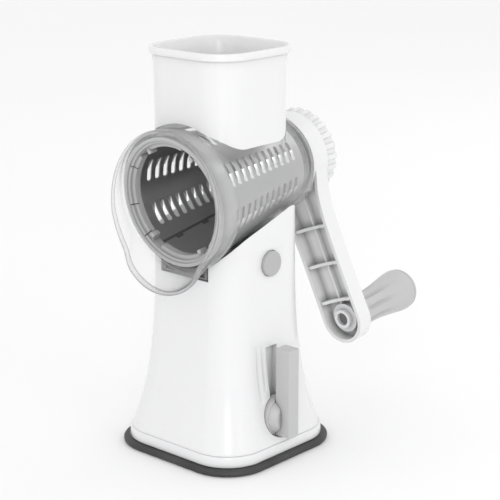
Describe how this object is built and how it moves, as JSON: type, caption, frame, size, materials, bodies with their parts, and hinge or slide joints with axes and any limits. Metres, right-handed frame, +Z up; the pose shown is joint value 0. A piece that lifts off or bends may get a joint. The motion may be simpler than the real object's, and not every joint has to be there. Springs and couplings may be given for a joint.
{
  "type": "rotary drum grater",
  "caption": "Table-top rotary grater: suction base, tapered tower, tilted clear barrel with a slotted steel drum, feed hopper and hand crank.",
  "frame": {"origin": "centre of the underside of the base, on the table", "axes": "+Z up; -Y towards the drum's mouth; +Y towards the crank; +X towards the suction lever and the release button"},
  "size_m": [0.123, 0.2125, 0.28],
  "materials": {
    "white_plastic": "glossy white moulded plastic with soft highlights",
    "clear_plastic": "clear polished moulded plastic",
    "grey_plastic": "satin mid-grey moulded plastic",
    "light_grey_plastic": "satin light-grey moulded plastic",
    "inner_plastic": "plain moulded plastic inside the base",
    "black_rubber": "soft dark rubber",
    "steel": "bright stainless steel",
    "brass": "turned metal insert"
  },
  "bodies": {
    "base": {"tower_shell": "white_plastic", "base_skirt": "white_plastic", "base_plate": "inner_plastic", "base_screws": "steel", "suction_pad": "black_rubber"},
    "lever": {"suction_lever": "grey_plastic", "lever_shaft": "steel", "lever_cam": "inner_plastic"},
    "plunger": {"suction_plunger": "inner_plastic"},
    "button": {"release_button": "grey_plastic", "latch_slide": "inner_plastic", "button_spring": "steel"},
    "upper_unit": {"barrel_housing": "clear_plastic", "front_hood": "clear_plastic", "feed_hopper": "white_plastic", "housing_foot": "grey_plastic", "rear_bush": "grey_plastic"},
    "crank": {"crank_arm": "white_plastic", "clamp_knob": "white_plastic", "clamp_screw": "steel", "grip_axle": "steel"},
    "grip": {"grip_sleeve": "grey_plastic", "grip_cap": "grey_plastic"},
    "drum": {"drum_sheet": "steel", "drum_front_ring": "light_grey_plastic", "drum_rear_hub": "light_grey_plastic", "drive_insert": "brass"}
  },
  "joints": [
    {"name": "suction_lever_turn", "type": "hinge", "parent": "base", "child": "lever", "pos_m": [0.051, 0, 0.03], "axis": [1, 0, 0], "range_deg": [0, 90]},
    {"name": "plunger_lift", "type": "slide", "parent": "base", "child": "plunger", "axis": [0, 0, 1], "range_m": [0, 0.005]},
    {"name": "button_press", "type": "slide", "parent": "base", "child": "button", "axis": [-1, 0, 0], "range_m": [0, 0.003], "stiffness_N_per_m": 800, "springref_m": -0.001},
    {"name": "unit_lift", "type": "slide", "parent": "base", "child": "upper_unit", "axis": [0, 0, 1], "range_m": [0, 0.07]},
    {"name": "crank_turn", "type": "hinge", "parent": "upper_unit", "child": "crank", "pos_m": [0, 0, 0.1865], "axis": [0, 0.9936, 0.1132], "continuous": true},
    {"name": "grip_spin", "type": "hinge", "parent": "crank", "child": "grip", "pos_m": [0.04408, 0.07261, 0.0792], "axis": [0, 0.9936, 0.1132], "continuous": true},
    {"name": "drum_withdraw", "type": "slide", "parent": "crank", "child": "drum", "axis": [0, -0.9936, -0.1132], "range_m": [0, 0.12]}
  ],
  "couplings": [
    {"joint": "plunger_lift", "follows": "suction_lever_turn", "m_per_rad": 0.0031831}
  ]
}
